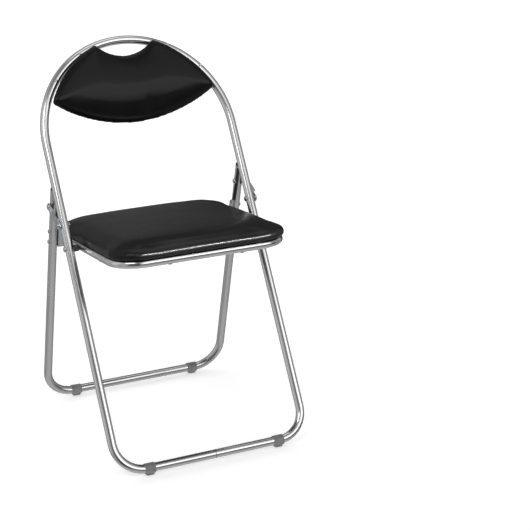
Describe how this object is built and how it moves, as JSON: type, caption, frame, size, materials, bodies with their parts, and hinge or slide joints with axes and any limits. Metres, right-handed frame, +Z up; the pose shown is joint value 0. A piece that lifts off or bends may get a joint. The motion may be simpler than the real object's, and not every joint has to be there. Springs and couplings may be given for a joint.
{
  "type": "folding chair",
  "caption": "Padded tubular folding chair with a hoop back and hand notch, whose seat and rear legs fold flat on links.",
  "frame": {"origin": "on the floor, midway between the front and rear bars and midway across", "axes": "+Z up, -Y to the front of the chair, +X to the sitter's left"},
  "size_m": [0.455, 0.474, 0.8006],
  "materials": {
    "silver_tube": "satin silver lacquer on steel tube",
    "plain_steel": "plain drawn steel",
    "foot_plastic": "moulded dark grey",
    "cap_plastic": "moulded black",
    "plywood": "raw plywood",
    "foam": "open foam",
    "black_vinyl": "semi-gloss grained vinyl",
    "lining_cloth": "matt non-woven sheet",
    "spacer_plastic": "moulded white",
    "zinc_plate": "zinc plated, satin",
    "fastener_steel": "bright zinc plated"
  },
  "bodies": {
    "main_frame": {"main_frame_tube": "silver_tube", "main_frame_joint_plug": "plain_steel", "front_foot_left": "foot_plastic", "front_foot_right": "foot_plastic", "back_board": "plywood", "back_foam": "foam", "back_cover": "black_vinyl", "back_pad_screws": "fastener_steel", "seat_pivot_rivets": "fastener_steel", "seat_pivot_spacers": "spacer_plastic", "link_upper_rivets": "fastener_steel", "link_upper_washers": "fastener_steel"},
    "seat": {"seat_frame_tube": "silver_tube", "seat_frame_joint_plug": "plain_steel", "seat_lining": "lining_cloth", "seat_board": "plywood", "seat_foam": "foam", "seat_cover": "black_vinyl", "seat_pad_screws": "fastener_steel", "seat_staples": "fastener_steel"},
    "rear_legs": {"rear_leg_tube": "silver_tube", "rear_leg_caps": "cap_plastic", "rear_foot_left": "foot_plastic", "rear_foot_right": "foot_plastic", "rear_bracket_left": "zinc_plate", "rear_bracket_right": "zinc_plate", "bracket_rivets": "fastener_steel", "rear_seat_rivets": "fastener_steel", "rear_link_rivets": "fastener_steel", "rear_link_washers": "fastener_steel"},
    "link_left": {"link_plate_left": "zinc_plate", "link_rivet_head_left": "fastener_steel"},
    "link_right": {"link_plate_right": "zinc_plate", "link_rivet_head_right": "fastener_steel"}
  },
  "joints": [
    {"name": "seat_fold", "type": "hinge", "parent": "main_frame", "child": "seat", "pos_m": [0, 0.0075, 0.41743], "axis": [-1, 0, 0], "range_deg": [0, 114.7]},
    {"name": "rear_leg_fold", "type": "hinge", "parent": "seat", "child": "rear_legs", "pos_m": [0, 0.08766, 0.41], "axis": [1, 0, 0], "range_deg": [0, 68.95]},
    {"name": "link_left_fold", "type": "hinge", "parent": "main_frame", "child": "link_left", "pos_m": [0, 0.03275, 0.46117], "axis": [-1, 0, 0], "range_deg": [0, 121.04]},
    {"name": "link_right_fold", "type": "hinge", "parent": "main_frame", "child": "link_right", "pos_m": [0, 0.03275, 0.46117], "axis": [-1, 0, 0], "range_deg": [0, 121.04]}
  ],
  "couplings": [
    {"joint": "rear_leg_fold", "follows": "seat_fold", "ratio": 0.6007},
    {"joint": "link_left_fold", "follows": "seat_fold", "ratio": 1.0548},
    {"joint": "link_right_fold", "follows": "seat_fold", "ratio": 1.0548}
  ]
}
